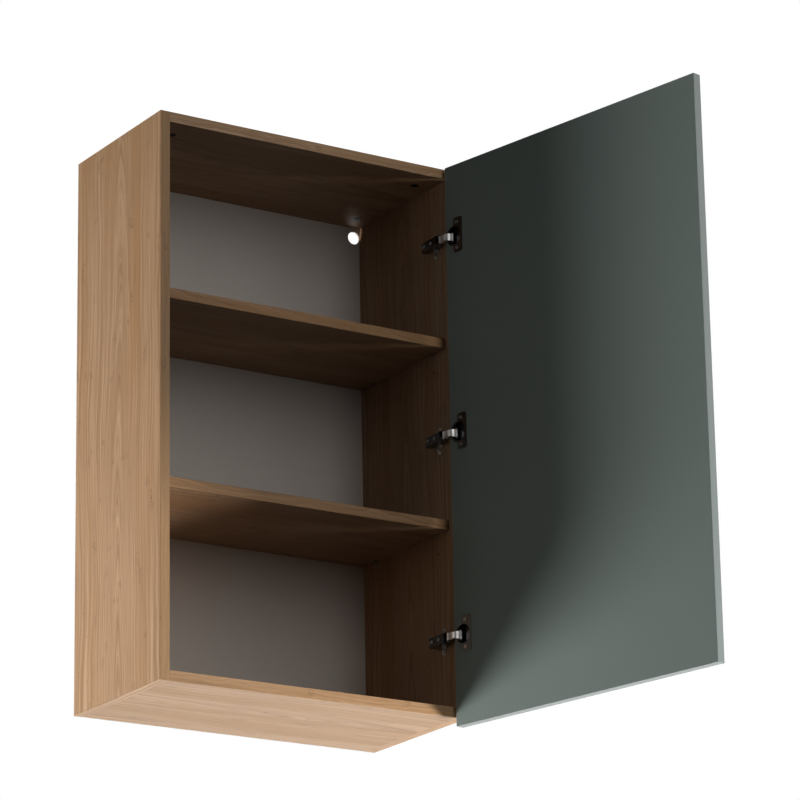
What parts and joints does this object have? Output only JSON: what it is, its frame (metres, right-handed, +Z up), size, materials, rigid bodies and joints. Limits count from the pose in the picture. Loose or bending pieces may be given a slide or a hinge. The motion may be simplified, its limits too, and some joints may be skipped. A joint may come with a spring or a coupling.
{
  "type": "hanging wall cabinet",
  "caption": "Wall-hung storage cabinet in light oak board with open shelves behind a grey-green side-hung door on concealed cup hinges.",
  "frame": {"origin": "midway between the two wall-hook holes, on the back panel's rear face, which lies on the wall", "axes": "+Z up, +Y into the wall, +X to the right as seen from the room"},
  "size_m": [0.7071, 0.8935, 1.018],
  "materials": {
    "oak_board": "satin",
    "oak_band": "satin",
    "grey_hardboard": "matt",
    "green_board": "matt",
    "green_band": "matt",
    "nickel_plate": "polished",
    "black_nickel": "polished",
    "screw_steel": "satin",
    "cam_zinc": "matt",
    "zinc_steel": "satin",
    "beech": "matt"
  },
  "bodies": {
    "carcass": {"left_side": "oak_board", "right_side": "oak_board", "top_panel": "oak_board", "bottom_panel": "oak_board", "back_panel": "grey_hardboard", "side_front_bands": "oak_band", "side_bottom_bands": "oak_band", "top_front_band": "oak_band", "bottom_front_band": "oak_band", "upper_shelf": "oak_board", "lower_shelf": "oak_board", "shelf_front_bands": "oak_band", "shelf_pins": "zinc_steel", "cam_locks": "cam_zinc", "cam_bolts": "zinc_steel", "dowels": "beech", "back_nails": "zinc_steel", "upper_mounting_plate": "nickel_plate", "upper_plate_screws": "screw_steel", "upper_arm": "black_nickel", "upper_arm_pins": "screw_steel", "upper_adjusting_screws": "screw_steel", "middle_mounting_plate": "nickel_plate", "middle_plate_screws": "screw_steel", "middle_arm": "black_nickel", "middle_arm_pins": "screw_steel", "middle_adjusting_screws": "screw_steel", "lower_mounting_plate": "nickel_plate", "lower_plate_screws": "screw_steel", "lower_arm": "black_nickel", "lower_arm_pins": "screw_steel", "lower_adjusting_screws": "screw_steel"},
    "door": {"door_panel": "green_board", "door_hinge_band": "green_band", "door_free_band": "green_band", "door_top_band": "green_band", "door_bottom_band": "green_band", "upper_cup": "nickel_plate", "upper_cup_pin": "screw_steel", "upper_cup_screws": "screw_steel", "middle_cup": "nickel_plate", "middle_cup_pin": "screw_steel", "middle_cup_screws": "screw_steel", "lower_cup": "nickel_plate", "lower_cup_pin": "screw_steel", "lower_cup_screws": "screw_steel"},
    "upper_outer_link_body": {"upper_outer_link": "nickel_plate"},
    "upper_inner_link_body": {"upper_inner_link": "nickel_plate"},
    "middle_outer_link_body": {"middle_outer_link": "nickel_plate"},
    "middle_inner_link_body": {"middle_inner_link": "nickel_plate"},
    "lower_outer_link_body": {"lower_outer_link": "nickel_plate"},
    "lower_inner_link_body": {"lower_inner_link": "nickel_plate"}
  },
  "joints": [
    {"name": "door_swing", "type": "hinge", "parent": "middle_outer_link_body", "child": "door", "pos_m": [0.27929, -0.31728, -0.4595], "axis": [0, 0, 1], "range_deg": [-135.33, 11.33]},
    {"name": "upper_outer_link_turn", "type": "hinge", "parent": "carcass", "child": "upper_outer_link_body", "pos_m": [0.267, -0.297, -0.097], "axis": [0, 0, 1], "range_deg": [-3, 34]},
    {"name": "middle_outer_link_turn", "type": "hinge", "parent": "carcass", "child": "middle_outer_link_body", "pos_m": [0.267, -0.297, -0.4595], "axis": [0, 0, 1], "range_deg": [-3, 34]},
    {"name": "lower_outer_link_turn", "type": "hinge", "parent": "carcass", "child": "lower_outer_link_body", "pos_m": [0.267, -0.297, -0.822], "axis": [0, 0, 1], "range_deg": [-3, 34]},
    {"name": "upper_inner_link_turn", "type": "hinge", "parent": "carcass", "child": "upper_inner_link_body", "pos_m": [0.273, -0.287, -0.097], "axis": [0, 0, 1], "range_deg": [-3, 28]},
    {"name": "middle_inner_link_turn", "type": "hinge", "parent": "carcass", "child": "middle_inner_link_body", "pos_m": [0.273, -0.287, -0.4595], "axis": [0, 0, 1], "range_deg": [-3, 28]},
    {"name": "lower_inner_link_turn", "type": "hinge", "parent": "carcass", "child": "lower_inner_link_body", "pos_m": [0.273, -0.287, -0.822], "axis": [0, 0, 1], "range_deg": [-3, 28]}
  ],
  "couplings": [
    {"joint": "upper_outer_link_turn", "follows": "door_swing", "ratio": -0.25},
    {"joint": "middle_outer_link_turn", "follows": "door_swing", "ratio": -0.25},
    {"joint": "lower_outer_link_turn", "follows": "door_swing", "ratio": -0.25},
    {"joint": "upper_inner_link_turn", "follows": "door_swing", "ratio": -0.2},
    {"joint": "middle_inner_link_turn", "follows": "door_swing", "ratio": -0.2},
    {"joint": "lower_inner_link_turn", "follows": "door_swing", "ratio": -0.2}
  ]
}
